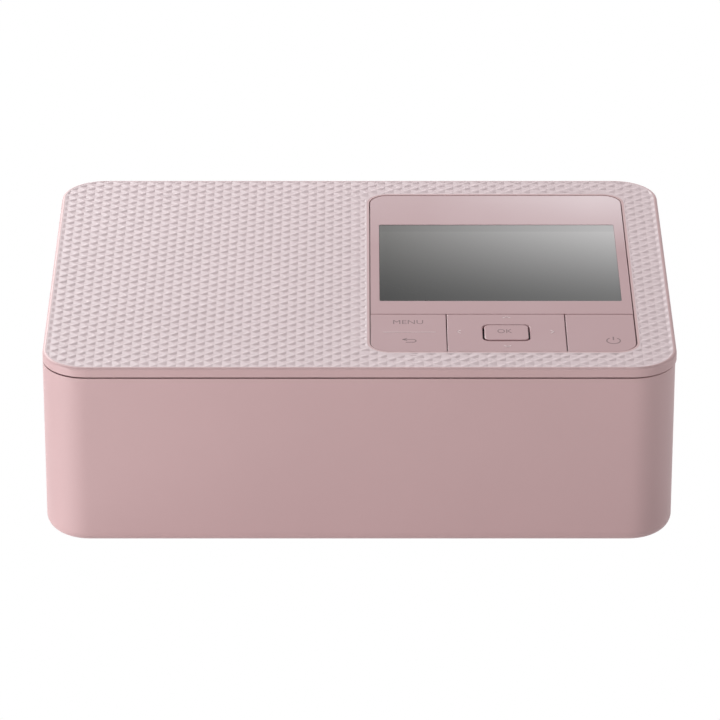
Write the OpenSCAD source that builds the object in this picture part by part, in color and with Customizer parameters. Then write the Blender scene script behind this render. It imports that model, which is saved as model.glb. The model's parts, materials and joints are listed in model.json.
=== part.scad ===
// Compact photo printer: a low box with a fold-down front door over the paper bay, a side
// door over the ribbon cartridge, and a display and key row let into the embossed top cover.
// Origin at the middle of the footprint on the table. The front faces -Y and +Z is up.

/* [Case] */
// Overall width, over the top cover
case_w = 182.2; // [181:0.1:190]
// Overall depth, front to rear
case_d = 133; // [133:0.5:138]
// Overall height, table to top cover
case_h = 57.6; // [57.2:0.1:62]
// Radius of the four upright corners
corner_r = 13; // [11.5:0.5:14]
// Thickness of the moulded walls
wall = 2.2; // [1.8:0.1:2.3]
// Radius along the bottom edge
bottom_r = 4; // [1:0.1:4.2]
// Radius along the top edge
top_edge_r = 0.9; // [0.4:0.1:1.2]
// Height of the rim of the top cover that shows above the seam
cover_h = 2.8; // [2.4:0.1:3.6]
// Width of the seam under the top cover
seam = 0.45; // [0.3:0.05:0.6]
// Depth of the bed that holds the embossed pattern of the top cover
emboss_t = 0.5; // [0.3:0.05:0.6]
// Overhang of the top cover on the right side
overhang = 0.35; // [0.1:0.05:0.6]
// Height that the feet lift the case off the table
foot_h = 1.3; // [1:0.1:2]
// Radius of a rubber foot
foot_r = 6; // [4:0.5:7]

/* [Doors] */
// How far the front door reaches round the sides
door_reach = 16.5; // [15:0.5:18]
// Height of the front door's hinge line
door_axis_z = 7.5; // [7:0.1:8.5]
// Gap round the doors
door_gap = 0.4; // [0.3:0.05:0.6]
// Width of the ribbon door
ink_door_w = 48.6; // [46:0.2:49.4]
// Height of the ribbon door
ink_door_h = 32; // [30:0.5:33]
// Radius of the rolled hinge edge of the ribbon door
ink_roll_r = 2.2; // [1.8:0.1:2.4]

/* [Panel] */
// Width of the panel with display and keys
panel_w = 76.5; // [75.5:0.1:80]
// Depth of the panel with display and keys
panel_d = 109.8; // [108:0.2:112]
// Corner radius of the panel
panel_r = 5.7; // [3:0.1:7]
// Distance of the panel surface below the top of the cover
panel_drop = 0.1; // [0.1:0.05:0.6]
// Visible width of the display
lcd_w = 71; // [66:0.5:72]
// Visible depth of the display
lcd_d = 54.3; // [50:0.1:56]
// Depth of the key row
key_d = 25; // [23:0.5:26]
// Gap round each key
key_gap = 0.3; // [0.2:0.05:0.5]
// Thickness of the key plates
key_t = 1.2; // [1:0.05:1.3]
// Width of the OK key
ok_w = 12.7; // [10:0.1:14]
// Depth of the OK key
ok_d = 9.9; // [8:0.1:11]

/* [Paper path] */
// Width of the paper
paper_w = 100; // [98:1:101]
// Height of the paper plane
paper_z = 20; // [19.6:0.1:20.5]
// Radius of the platen roller
platen_r = 7; // [6:0.1:7.4]
// Radius of the grip roller
grip_r = 3.5; // [3:0.1:4]
// Radius of the pinch roller
pinch_r = 4; // [3:0.1:4.2]
// Radius of the feed tyres
feed_r = 7; // [5:0.1:7.2]
// Height of the paper bay
bay_h = 25.6; // [24:0.2:26]
// Radial running clearance of shafts
run_fit = 0.05; // [0.02:0.01:0.09]
// Angle that the print head swings down
head_swing = 10.5; // [9:0.1:11]

/* [Gears] */
// Gear module
gear_m = 0.6; // [0.58:0.01:0.61]
// Width of one gear
gear_w = 2.4; // [2:0.1:2.8]
// Play of the teeth, on each flank
gear_play = 0.06; // [0.04:0.01:0.1]

/* [Ribbon] */
// Outer radius of the supply tube
supply_r = 9; // [8:0.1:9.2]
// Outer radius of the take-up tube
takeup_r = 8; // [7:0.1:8.2]
// Wall of the ribbon cartridge
ink_wall = 1; // [0.8:0.1:1.2]

/* [Hidden] */
$fn = 64;

// Colours
shell_pink = [0.78, 0.64, 0.65];
panel_pink = [0.77, 0.65, 0.66];
black = [0.12, 0.12, 0.13];
dark_grey = [0.25, 0.25, 0.27];
steel = [0.72, 0.73, 0.75];
alu = [0.8, 0.8, 0.82];
rubber = [0.16, 0.16, 0.17];
board_green = [0.12, 0.35, 0.22];
gear_white = [0.9, 0.9, 0.86];
glass_grey = [0.5, 0.5, 0.5];
film = [0.55, 0.35, 0.2];
brass = [0.75, 0.62, 0.32];
lock_orange = [0.85, 0.45, 0.12];

eps = 0.01;
air = 0.3;                            // gap between pieces that move past each other
far = 300;                            // longer than any piece
left = -case_w / 2;                   // outer faces of the case
right = case_w / 2 - overhang;
front = -case_d / 2;
rear = case_d / 2;
body_w = case_w - overhang;
body_x = -overhang / 2;
z_floor = foot_h + wall;              // inside of the base
z_seam = case_h - cover_h;            // lowest edge of the top cover
z_case = z_seam - seam;               // top edge of the housing and the front door
z_under = case_h - wall;              // underside of the top cover
flange = 2 * wall;                    // width of the housing's bottom flange
emboss_in = 1;                        // smooth rim round the embossed pattern
emboss_rim = 0.7;                     // smooth rim between the pattern and the panel
grip_y = rear - 62.5;                 // the grip roller, from which the mechanism is placed
foot_x = case_w / 2 - 19.1;

// Front door
door_y = front + door_reach;          // its parting line on the sides
door_arc = 11;                        // radius of the parting line below the hinge line
door_axis_y = door_y - door_arc;
door_front = door_axis_y - front;     // from the door's face to its hinge line
door_floor = door_front + 3.7;        // depth of the door's bottom wall
face_y = door_y + door_gap;           // front of the housing's inner front wall
pin_r = 1.5;
ear_x = foot_x;
ear_t = 4;
lug_t = 3;
lug_r = 3;
base_front = door_axis_y + 7;

// Ribbon door, in the right side
ink_axis_x = right - wall + 0.05;
ink_door_z = 15;
ink_axis_z = ink_door_z + ink_roll_r;
ink_door_y = grip_y + 24.2;
ink_pin_r = 0.9;
ink_pin_l = 2.4;
ink_y0 = ink_door_y - ink_door_w / 2;
ink_y1 = ink_door_y + ink_door_w / 2;

// Panel, display and keys
panel_x = 41.45;
panel_y = -0.1;
panel_z = case_h - panel_drop;
panel_front = panel_y - panel_d / 2;
panel_left = panel_x - panel_w / 2;
panel_right = panel_x + panel_w / 2;
tray_z = z_under - 0.2;               // floor of the tray under the keys, below the cover
tray_t = 1.2;
key_back = panel_front + key_d;
key_split_a = panel_left + 22;
key_split_b = panel_right - 20;
key_y = panel_front + key_d / 2;
lcd_x = 41.35;
lcd_y = 6.15;
nav_x = (key_split_a + key_split_b) / 2;
nav_r = 8;
glass_t = 0.8;
glass_drop = 0.5;
module_t = 3.4;
board_t = 1.2;
board_z = tray_z - tray_t - 2.6;      // top of the board under the keys
switch_h = 0.8;
press = 0.4;                          // travel of the keys
switch_y = 6.5;
plunger_z = board_z + switch_h + press + 0.15;

// Paper path and frame
mech_x = -2;
mech_w = paper_w + 22;
plate_t = 1.2;
xl = mech_x - mech_w / 2 - plate_t;   // outer face of the left frame plate
xr = mech_x + mech_w / 2 + plate_t;   // outer face of the right frame plate
bay_w = mech_w - 4;
bay_wall = 1.5;
bay_z = z_floor + 1.9;
grip_p = [grip_y, paper_z - grip_r];
pinch_p = [grip_y, paper_z + pinch_r + air];
platen_p = [grip_y + 25.5, paper_z - platen_r];
head_p = [grip_y + 50, paper_z + 23];
journal_r = 2.5;

// Gears: numbers of teeth, and centres as [y, z]
pinion_n = 16;
reduce_n = 30;
step_n = 18;
grip_n = 32;
feed_n = 38;
takeup_n = 32;
sector_n = 34;
layer_a = xl - 1.2 - gear_w;
layer_b = layer_a - 0.4 - gear_w;
bracket_x = layer_b - 1.8;            // inner face of the motor bracket
function pitch_r(n) = n * gear_m / 2;
function polar(p, r, a) = [p[0] + r * cos(a), p[1] + r * sin(a)];
reduce_a = -3;
feed_a = 150;
takeup_a = 58;
motor_a = 25;
lift_a = -105;
reduce_p = polar(grip_p, pitch_r(grip_n) + pitch_r(step_n), reduce_a);
feed_p = polar(grip_p, pitch_r(grip_n) + pitch_r(feed_n), feed_a);
takeup_p = polar(grip_p, pitch_r(grip_n) + pitch_r(takeup_n), takeup_a);
motor_p = polar(reduce_p, pitch_r(reduce_n) + pitch_r(pinion_n), motor_a);
lift_p = polar(head_p, pitch_r(sector_n) + pitch_r(pinion_n), lift_a);
supply_p = [grip_y + 38.3, paper_z + 10.5];

// Angle of a tooth of gear 2 that meshes with gear 1, whose tooth stands at t1
function mesh(t1, n1, n2, a) = a + 180 - (t1 - a) * n1 / n2 + 180 / n2;
grip_t = 0;
step_t = mesh(grip_t, grip_n, step_n, reduce_a);
feed_t = mesh(grip_t, grip_n, feed_n, feed_a);
takeup_t = mesh(grip_t, grip_n, takeup_n, takeup_a);
pinion_t = mesh(step_t, reduce_n, pinion_n, motor_a);
sector_t = lift_a;
lift_t = mesh(sector_t, sector_n, pinion_n, lift_a);

// Ribbon cartridge
ink_x0 = xl + plate_t + 2.5;
ink_x1 = right - 16.75;
bridge_z = paper_z + 1.5;
bridge_t = 3.2;

// Boards and sockets
main_z = bay_z + bay_h + 4;
main_t = 1.6;
main_y0 = face_y + wall + 3.4;
main_y1 = grip_y - 12;
card_y = face_y + 16.1;
card_w = 24.6;
usb_a_y = card_y + 22.1;
usb_a_w = 14;
usb_a_h = 6.5;
power_x = xr + 8.3;
power_z = paper_z + 18.8;

// ---------- helpers ----------

// Cylinder along X, and flat shapes in Y and Z or in X and Z swept along the other axis
module xcyl(x0, x1, r) { translate([x0, 0, 0]) rotate([0, 90, 0]) cylinder(h = x1 - x0, r = r); }
module xprism(x0, x1) { translate([x0, 0, 0]) rotate([90, 0, 90]) linear_extrude(x1 - x0) children(); }
module yprism(y0, y1) { translate([0, y1, 0]) rotate([90, 0, 0]) linear_extrude(y1 - y0) children(); }
module at_yz(p) { translate([0, p[0], p[1]]) children(); }
module box(a, b) { translate(a) cube(b - a); }

module rrect(w, d, r) {
    square([w - 2 * r, d], center = true);
    square([w, d - 2 * r], center = true);
    for (i = [-1, 1], j = [-1, 1]) translate([i * (w / 2 - r), j * (d / 2 - r)]) circle(r);
}

// Upright block with rounded corners, and with a flat edge profile swept round it: the
// profile's x runs from the corner centre to the outside, and its y is the height
module swept_block(w, d, r) {
    cw = w - 2 * r;
    cd = d - 2 * r;
    for (i = [0:3]) {
        sx = (i == 0 || i == 3) ? 1 : -1;
        sy = i < 2 ? 1 : -1;
        translate([sx * cw / 2, sy * cd / 2, 0]) rotate([0, 0, 90 * i]) rotate_extrude(angle = 90) children();
    }
    for (s = [0, 180]) rotate([0, 0, s]) {
        translate([cw / 2, cd / 2, 0]) rotate([90, 0, 0]) linear_extrude(cd) children();
        translate([-cw / 2, cd / 2, 0]) rotate([90, 0, 90]) linear_extrude(cw) children();
    }
}

// Outside of housing and front door together, solid
module body_block() {
    z0 = foot_h;
    translate([body_x, 0, 0]) {
        swept_block(body_w, case_d, corner_r) {
            union() {
                translate([0, z0]) square([corner_r - bottom_r, bottom_r]);
                translate([0, z0 + bottom_r]) square([corner_r, z_case - z0 - bottom_r]);
                intersection() {
                    translate([corner_r - bottom_r, z0 + bottom_r]) circle(bottom_r);
                    translate([0, z0]) square([corner_r, 2 * bottom_r]);
                }
            }
        }
        translate([-body_w / 2 + corner_r, -case_d / 2 + corner_r, z0])
            cube([body_w - 2 * corner_r, case_d - 2 * corner_r, z_case - z0]);
    }
}

// Space inside the walls, t from the outside
module body_inside(t, z0, z1) {
    translate([body_x, 0, z0]) linear_extrude(z1 - z0) rrect(body_w - 2 * t, case_d - 2 * t, corner_r - t);
}

// Everything in front of the front door's parting line; grow moves the line backwards
module door_zone(grow) {
    box([-far, front - 10, door_axis_z], [far, door_y + grow, case_h + 10]);
    box([-far, front - 10, -10], [far, door_axis_y, door_axis_z]);
    at_yz([door_axis_y, door_axis_z]) xcyl(-far, far, door_arc + grow);
}

// Involute tooth outline, with chords inside the true flank
function inv(a) = tan(a) * 180 / PI - a;
function flank(n, r) =
    90 / n - gear_play / pitch_r(n) * 180 / PI + inv(20)
    - (r > pitch_r(n) * cos(20) ? inv(acos(pitch_r(n) * cos(20) / r)) : 0);
function gear_points(n, from, to) = let (
    rp = pitch_r(n), ro = rp + 0.85 * gear_m, rr = rp - 1.2 * gear_m, rs = max(rr + 0.1, rp * cos(20)),
    rad = [rr, rs, (rs + rp) / 2, rp, (rp + ro) / 2, ro])
    [for (k = [from:to]) each concat(
        [for (i = [0:5]) polar([0, 0], rad[i], k * 360 / n - flank(n, rad[i]))],
        [for (i = [5:-1:0]) polar([0, 0], rad[i], k * 360 / n + flank(n, rad[i]))])];

// Spur gear along X from x0, with a tooth at angle t and a bore of radius b
module gear(n, x0, t, b, w = gear_w) {
    xprism(x0, x0 + w) difference() {
        rotate(t) polygon(gear_points(n, 0, n - 1));
        circle(b);
        if (pitch_r(n) > 8)
            for (i = [0:5]) rotate(60 * i) translate([(pitch_r(n) + b) / 2, 0]) circle(pitch_r(n) / 6);
    }
}

// Flat plate along Y and Z with round holes at the given places
module drilled_plate(x0, x1, holes) {
    xprism(x0, x1) difference() {
        children();
        for (h = holes) translate([h[0], h[1]]) circle(h[2]);
    }
}

// ---------- case ----------

screw_places = [[left + 8.1, door_y + 10], [left + 8.1, 6], [left + 8.1, rear - 18.5],
    [right - 9.75, door_y + 7], [right - 9.75, -1], [right - 11.75, rear - 11.5]];
screw_hole_r = 1.25;

module housing_front_wall() {
    difference() {
        intersection() {
            body_inside(wall - eps, z_floor + 0.4, z_case - 1.6);
            box([-far, face_y, 0], [far, face_y + wall, case_h]);
        }
        // Room for the boards under the panel
        box([panel_left - 3, face_y - 1, board_z - board_t - 0.6],
            [panel_right + 3, face_y + wall + 1, case_h]);
        // Mouth of the paper bay
        box([mech_x - bay_w / 2, face_y - 1, bay_z], [mech_x + bay_w / 2, face_y + wall + 1, bay_z + bay_h]);
    }
    // Ears that carry the front door
    for (s = [-1, 1]) difference() {
        union() {
            box([s * ear_x - ear_t / 2, door_axis_y, door_axis_z - 2],
                [s * ear_x + ear_t / 2, face_y + 1, door_axis_z + 3]);
            at_yz([door_axis_y, door_axis_z]) xcyl(s * ear_x - ear_t / 2, s * ear_x + ear_t / 2, 3.2);
        }
        at_yz([door_axis_y, door_axis_z]) xcyl(s * ear_x - far, s * ear_x + far, pin_r + run_fit);
    }
}

module rear_openings() {
    slot_w = paper_w + 10;
    slot_h = 5.4;
    slot_z = paper_z - 2.4;
    // Paper slot
    box([mech_x - slot_w / 2, rear - wall - 1, slot_z], [mech_x + slot_w / 2, rear + 1, slot_z + slot_h]);
    // Air slots
    for (i = [0:15]) translate([-60 + i * 5, 0, 0]) yprism(rear - wall - 1, rear + 1)
        translate([0, 37]) rrect(2, 14, 0.99);
    // Sockets
    box([power_x - 4.9, rear - wall - 1, power_z - 11.4], [power_x + 4.9, rear + 1, power_z + 0.2]);
    translate([power_x, 0, power_z + board_t + 1.6]) yprism(rear - wall - 1, rear + 1) rrect(9.6, 3.8, 1.6);
}

module side_openings() {
    // Ribbon door
    box([right - wall - 1, ink_y0 - door_gap, ink_door_z - air],
        [right + 1, ink_y1 + door_gap, ink_door_z + ink_door_h + air]);
    // Memory card and USB slots
    board_top = main_z + main_t;
    translate([0, card_y, board_top + 1.4]) xprism(right - wall - 1, right + 1)
        rrect(card_w + 2.4, 4.6, 1);
    translate([0, usb_a_y, board_top + usb_a_h / 2]) xprism(right - wall - 1, right + 1)
        rrect(usb_a_w + 0.6, usb_a_h + 0.6, 0.6);
}

module main_housing() {
    block_y = [ink_y0 - door_gap - 2.6, ink_y1 + door_gap];
    color(shell_pink) {
        difference() {
            union() {
                difference() {
                    body_block();
                    body_inside(wall, z_floor, case_h);
                    body_inside(flange + door_gap, 0, z_floor + 1);
                    door_zone(door_gap);
                    rear_openings();
                    side_openings();
                }
                // Blocks that hold the pins of the ribbon door
                for (y = block_y)
                    box([ink_axis_x - 2.5, y, ink_axis_z - 2.5],
                        [right - wall / 2, y + 2.6, ink_axis_z + 2.5]);
            }
            for (y = block_y) translate([ink_axis_x, y - 0.5, ink_axis_z]) rotate([-90, 0, 0])
                cylinder(h = 3.6, r = ink_pin_r + run_fit);
        }
        housing_front_wall();
        // Screw bosses, each with a rib to the wall
        intersection() {
            body_inside(wall - eps, z_floor, 20);
            for (p = screw_places) difference() {
                union() {
                    translate([p[0], p[1], z_floor]) cylinder(h = 9, r = 3.2);
                    box([p[0] < 0 ? left : p[0], p[1] - 1, z_floor],
                        [p[0] < 0 ? p[0] : right, p[1] + 1, z_floor + 9]);
                }
                translate([p[0], p[1], z_floor - 1]) cylinder(h = 9, r = screw_hole_r);
            }
        }
    }
}

module base_plate() {
    edge = flange + 2 * door_gap;
    y1 = rear - edge;
    w = body_w - 2 * edge;
    r = corner_r - edge;
    color(dark_grey) difference() {
        translate([body_x, 0, foot_h]) linear_extrude(wall) {
            intersection() {
                rrect(w, 2 * y1, r);
                translate([-far, base_front]) square([2 * far, 2 * far]);
            }
        }
        for (p = screw_places) translate([p[0], p[1], 0]) {
            cylinder(h = far, r = 1.6);
            cylinder(h = foot_h + 1.3, r = 2.9);
        }
        for (p = foot_places()) translate([p[0], p[1], 0]) cylinder(h = foot_h + 1, r = foot_r);
        // Air slots
        for (i = [0:11], j = [0, 1])
            translate([-33 + i * 6, grip_y + 4 + j * 26, 0]) linear_extrude(far) rrect(2, 18, 0.99);
    }
}

function foot_places() = [for (x = [-foot_x, foot_x], y = [base_front + 11, rear - 17]) [x, y]];

module rubber_feet() {
    color(rubber) for (p = foot_places()) translate([p[0], p[1], 0]) rotate_extrude() {
        square([foot_r - 0.6, foot_h + 1]);
        translate([0, 0.6]) square([foot_r, foot_h + 0.4]);
        translate([foot_r - 0.6, 0.6]) circle(0.6);
    }
}

module case_screws() {
    color(steel) for (p = screw_places) translate([p[0], p[1], foot_h + 0.5]) {
        difference() {
            cylinder(h = 0.8, r = 2.6);
            translate([0, 0, -eps]) for (a = [0, 90]) rotate([0, 0, a]) cube([3, 0.6, 0.8], center = true);
        }
        cylinder(h = 8, r = screw_hole_r);
    }
}

module top_cover() {
    skirt = 1.2;
    color(shell_pink) {
        difference() {
            union() {
                swept_block(case_w, case_d, corner_r) {
                    union() {
                        translate([0, z_under]) square([corner_r - top_edge_r, case_h - z_under]);
                        translate([0, z_under]) square([corner_r, case_h - top_edge_r - z_under]);
                        translate([corner_r - wall, z_seam]) square([wall, 1]);
                        intersection() {
                            translate([corner_r - top_edge_r, case_h - top_edge_r]) circle(top_edge_r);
                            translate([0, z_seam]) square([corner_r, far]);
                        }
                    }
                }
                translate([-case_w / 2 + corner_r, -case_d / 2 + corner_r, z_under])
                    cube([case_w - 2 * corner_r, case_d - 2 * corner_r, case_h - z_under]);
            }
            translate([panel_x, panel_y, 0]) linear_extrude(far)
                rrect(panel_w + 2 * key_gap, panel_d + 2 * key_gap, panel_r + key_gap);
            // Bed of the embossed pattern
            translate([0, 0, case_h - emboss_t]) linear_extrude(far) difference() {
                rrect(case_w - 2 * emboss_in, case_d - 2 * emboss_in, corner_r - emboss_in);
                panel_shape(-key_gap - emboss_rim);
            }
        }
        // Skirt inside the housing
        difference() {
            translate([0, 0, z_case - 5]) linear_extrude(z_under - z_case + 5 + eps) difference() {
                skirt_shape(air);
                skirt_shape(air + skirt);
            }
            box([panel_left - 3, front, 0], [panel_right + 3, face_y + 10, case_h]);
            box([right - 30, card_y - 20, 0], [right, ink_y1 + 4, z_case - 2]);
        }
    }
}

// Plan of the housing's inside behind its front wall, shrunk by t
module skirt_shape(t) {
    intersection() {
        translate([body_x, 0]) rrect(body_w - 2 * (wall + t), case_d - 2 * (wall + t), corner_r - wall - t);
        translate([-far, face_y + wall + t]) square([2 * far, far]);
    }
}

module front_door() {
    tongue_x = 40;
    color(shell_pink) {
        difference() {
            intersection() {
                body_block();
                door_zone(0);
            }
            body_inside(wall, foot_h + 2, case_h);
            intersection() {
                body_inside(wall, 0, case_h);
                box([-far, front + door_floor, 0], [far, 0, case_h]);
            }
            // Room for the housing's ears when the door is open
            for (s = [-1, 1])
                box([s * ear_x - ear_t / 2 - air, door_axis_y - 2.5, 0],
                    [s * ear_x + ear_t / 2 + air, 0, foot_h + 3]);
        }
        // Lugs beside the ears
        for (s = [-1, 1]) {
            x0 = s > 0 ? ear_x - ear_t / 2 - air - lug_t : -ear_x + ear_t / 2 + air;
            difference() {
                union() {
                    box([x0, front + wall / 2, door_axis_z - lug_r],
                        [x0 + lug_t, door_axis_y, door_axis_z + lug_r]);
                    at_yz([door_axis_y, door_axis_z]) xcyl(x0, x0 + lug_t, lug_r);
                }
                at_yz([door_axis_y, door_axis_z]) xcyl(x0 - 1, x0 + lug_t + 1, pin_r);
            }
        }
        // Stiffening ribs and the two tongues that enter the catches
        for (x = [-60:30:60]) box([x - 0.6, front + wall / 2, 12], [x + 0.6, front + wall + 1.2, z_case - 4]);
        for (x = [-tongue_x, tongue_x])
            box([x - 4, front + wall / 2, z_case - 6], [x + 4, front + wall + 4, z_case - 4.4]);
    }
}

module front_door_pins() {
    color(steel) for (s = [-1, 1]) at_yz([door_axis_y, door_axis_z])
        xcyl(s > 0 ? ear_x - ear_t / 2 - air - lug_t : -ear_x - ear_t / 2,
             s > 0 ? ear_x + ear_t / 2 : -ear_x + ear_t / 2 + air + lug_t, pin_r);
}

module ink_door() {
    r = 2;
    color(shell_pink) difference() {
        union() {
            // Panel with rounded upper corners
            intersection() {
                box([right - wall, ink_y0, ink_axis_z], [right, ink_y1, ink_door_z + ink_door_h]);
                translate([0, ink_door_y, ink_door_z + ink_door_h / 2]) xprism(right - far, right + 1)
                    rrect(ink_door_w, ink_door_h, r);
            }
            // Rolled lower edge
            intersection() {
                translate([ink_axis_x, ink_y0, ink_axis_z]) rotate([-90, 0, 0])
                    cylinder(h = ink_door_w, r = ink_roll_r);
                box([0, ink_y0, 0], [right, ink_y1, far]);
            }
            // Ribs inside
            for (y = [ink_y0 + 6, ink_y1 - 6])
                box([right - wall - 1.4, y - 0.6, ink_axis_z + 1],
                    [right - wall / 2, y + 0.6, ink_door_z + ink_door_h - 3]);
        }
        // Finger recess at the top edge
        translate([right + 1.6, ink_door_y - 9, ink_door_z + ink_door_h - 1]) rotate([-90, 0, 0])
            cylinder(h = 18, r = 2.6);
        translate([ink_axis_x, ink_y0 - 1, ink_axis_z]) rotate([-90, 0, 0]) cylinder(h = far, r = ink_pin_r);
    }
}

module ink_door_pins() {
    color(steel) translate([ink_axis_x, ink_y0 - ink_pin_l, ink_axis_z]) rotate([-90, 0, 0])
        cylinder(h = ink_door_w + 2 * ink_pin_l, r = ink_pin_r);
}

// ---------- panel, display and keys ----------

// Shape of the panel, shrunk by t
module panel_shape(t) {
    translate([panel_x, panel_y]) rrect(panel_w - 2 * t, panel_d - 2 * t, panel_r - t);
}

// Holes in the tray under the keys
module tray_holes() {
    for (p = plungers()) translate(p) circle(1.9);
    translate([nav_x, key_y]) circle(nav_r + 0.6);
}

function plungers() = [[key_split_a - 11, key_y + switch_y], [key_split_a - 11, key_y - switch_y],
    [nav_x - 13, key_y], [nav_x + 13, key_y], [nav_x, key_y + 10], [nav_x, key_y - 10],
    [panel_right - 8, key_y - 5]];

module control_panel() {
    color(panel_pink) difference() {
        union() {
            translate([0, 0, tray_z - tray_t]) linear_extrude(tray_t) difference() {
                panel_shape(-1.5);
                tray_holes();
            }
            // Frame round the display
            translate([0, 0, tray_z - eps]) linear_extrude(panel_z - tray_z + eps) intersection() {
                panel_shape(0);
                translate([-far, key_back + key_gap / 2]) square([2 * far, far]);
            }
        }
        // Window recess, and the opening behind it
        translate([lcd_x, lcd_y, panel_z - glass_drop - glass_t - 0.1]) linear_extrude(far)
            rrect(lcd_w, lcd_d, 0.5);
        translate([lcd_x, lcd_y, 0]) linear_extrude(far) square([lcd_w - 2, lcd_d - 2], center = true);
    }
}

module display_window() {
    color(glass_grey) translate([lcd_x, lcd_y, panel_z - glass_drop - glass_t]) linear_extrude(glass_t)
        rrect(lcd_w - 0.1, lcd_d - 0.1, 0.45);
}

module display_module() {
    z1 = tray_z - tray_t - 0.1;
    color(dark_grey) {
        translate([lcd_x, lcd_y, z1 - module_t]) linear_extrude(module_t) rrect(lcd_w + 3, lcd_d + 5, 1);
        // Cell that stands up into the opening of the panel
        translate([lcd_x, lcd_y, z1 - eps]) linear_extrude(panel_z - glass_drop - glass_t - 0.2 - z1)
            square([lcd_w - 2.6, lcd_d - 2.6], center = true);
    }
}

// Key plate between x0 and x1, cut from the panel's shape
module key_plate(x0, x1) {
    translate([0, 0, panel_z - key_t]) linear_extrude(key_t) intersection() {
        panel_shape(0);
        translate([x0, panel_front]) square([x1 - x0, key_d - key_gap / 2]);
    }
}

module plunger(p) {
    translate([p[0], p[1], plunger_z]) cylinder(h = panel_z - key_t / 2 - plunger_z + 0.15, r = 1.4);
}

module menu_key() {
    p = plungers();
    color(panel_pink) {
        key_plate(panel_left, key_split_a - key_gap / 2);
        plunger(p[0]);
        plunger(p[1]);
        // Rib that it rocks on
        translate([0, key_y, panel_z - key_t - 0.1]) xcyl(panel_left + 3, key_split_a - 3, 0.65);
    }
}

module nav_pad() {
    p = plungers();
    color(panel_pink) {
        difference() {
            key_plate(key_split_a + key_gap / 2, key_split_b - key_gap / 2);
            translate([nav_x, key_y, 0]) linear_extrude(far) rrect(ok_w + 1, ok_d + 1, 2);
        }
        for (i = [2:5]) plunger(p[i]);
    }
}

module nav_carrier() {
    h = panel_z - key_t - 0.1 - tray_z + tray_t;
    color(dark_grey) translate([nav_x, key_y, tray_z - tray_t]) {
        difference() {
            cylinder(h = h - 0.7, r = nav_r);
            translate([0, 0, -1]) cylinder(h = far, r = nav_r - 1.4);
        }
        // Nubs that the pad tilts on
        for (y = [0.7 - nav_r, nav_r - 0.7]) translate([0, y, 0]) cylinder(h = h, r = 0.6);
    }
}

module ok_key() {
    color(panel_pink) {
        translate([nav_x, key_y, panel_z - key_t - 0.2]) linear_extrude(key_t + 0.3) rrect(ok_w, ok_d, 1.6);
        translate([nav_x, key_y, plunger_z]) cylinder(h = panel_z - key_t - plunger_z + 0.15, r = 1.8);
    }
}

module power_key() {
    p = plungers();
    color(panel_pink) {
        key_plate(key_split_b + key_gap / 2, panel_right);
        plunger(p[6]);
    }
}

module panel_board() {
    color(board_green) translate([0, 0, board_z - board_t]) linear_extrude(board_t) intersection() {
        panel_shape(2);
        translate([-far, panel_front]) square([2 * far, key_d + 5.4]);
    }
    // Posts that hold it to the tray
    color(board_green) for (x = [key_split_a, key_split_b], y = [panel_front + 4, key_back - 2])
        translate([x, y, board_z - eps]) cylinder(h = tray_z - tray_t - 0.1 - board_z, r = 1.2);
}

module key_switches() {
    p = concat(plungers(), [[nav_x, key_y]]);
    color(steel) for (q = p) translate([q[0], q[1], board_z]) {
        translate([0, 0, switch_h / 4]) cube([4.6, 4.6, switch_h / 2], center = true);
        cylinder(h = switch_h, r = 1.1);
    }
}

module panel_cable() {
    y = main_y1 - 4;
    w = 14;
    t = 0.3;
    color(alu) translate([nav_x - w / 2, 0, 0]) xprism(0, w) {
        translate([y, main_z + main_t + 2.2]) square([t, board_z - board_t - t - main_z - main_t - 2.2]);
        translate([key_back, board_z - board_t - 2 * t]) square([y - key_back + t, t]);
    }
}

// ---------- boards and sockets ----------

module main_board() {
    x1 = right - wall - 2;
    color(board_green) translate([0, 0, main_z]) linear_extrude(main_t) {
        translate([xl + 6, main_y0]) square([xr - xl - 8, main_y1 - main_y0]);
        translate([xr - 4, main_y0]) square([x1 - xr + 4, usb_a_y + 6.8 - main_y0]);
    }
    z = main_z + main_t;
    color(dark_grey) {
        box([-20, main_y0 + 10, z], [-4, main_y0 + 26, z + 1.6]);
        box([4, main_y0 + 14, z], [14, main_y0 + 24, z + 1.2]);
        box([-50, main_y0 + 8, z], [-34, main_y0 + 20, z + 3]);
        box([nav_x - 8, main_y1 - 5.5, z], [nav_x + 8, main_y1 - 2, z + 2.2]);
    }
    color(steel) for (i = [0:3]) translate([-54 + i * 9, main_y1 - 7, z]) cylinder(h = 7, r = 3.4);
}

module power_board() {
    color(board_green) box([power_x - 6.5, rear - wall - 9.6, power_z],
        [right - corner_r + 1.25, rear - wall - 0.8, power_z + board_t]);
}

module card_socket() {
    z = main_z + main_t;
    color(black) difference() {
        union() {
            box([right - 28, card_y - card_w / 2 - 1, z],
                [right - wall - 0.5, card_y + card_w / 2 + 1, z + 2.8]);
            translate([0, card_y, z + 1.4]) xprism(right - wall - 1, case_w / 2) rrect(card_w + 2, 4.2, 0.8);
        }
        box([right - 26, card_y - card_w / 2, z + 0.3], [far, card_y + card_w / 2, z + 2.5]);
    }
}

module usb_a_socket() {
    z = main_z + main_t;
    shell_t = 0.7;
    color(steel) {
        difference() {
            box([right - 15, usb_a_y - usb_a_w / 2, z], [right - 0.3, usb_a_y + usb_a_w / 2, z + usb_a_h]);
            box([right - 14, usb_a_y - usb_a_w / 2 + shell_t, z + shell_t],
                [far, usb_a_y + usb_a_w / 2 - shell_t, z + usb_a_h - shell_t]);
        }
        // Contact tongue
        box([right - 14.5, usb_a_y - 5.6, z + 3.6], [right - 2, usb_a_y + 5.6, z + 5.5]);
    }
}

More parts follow.
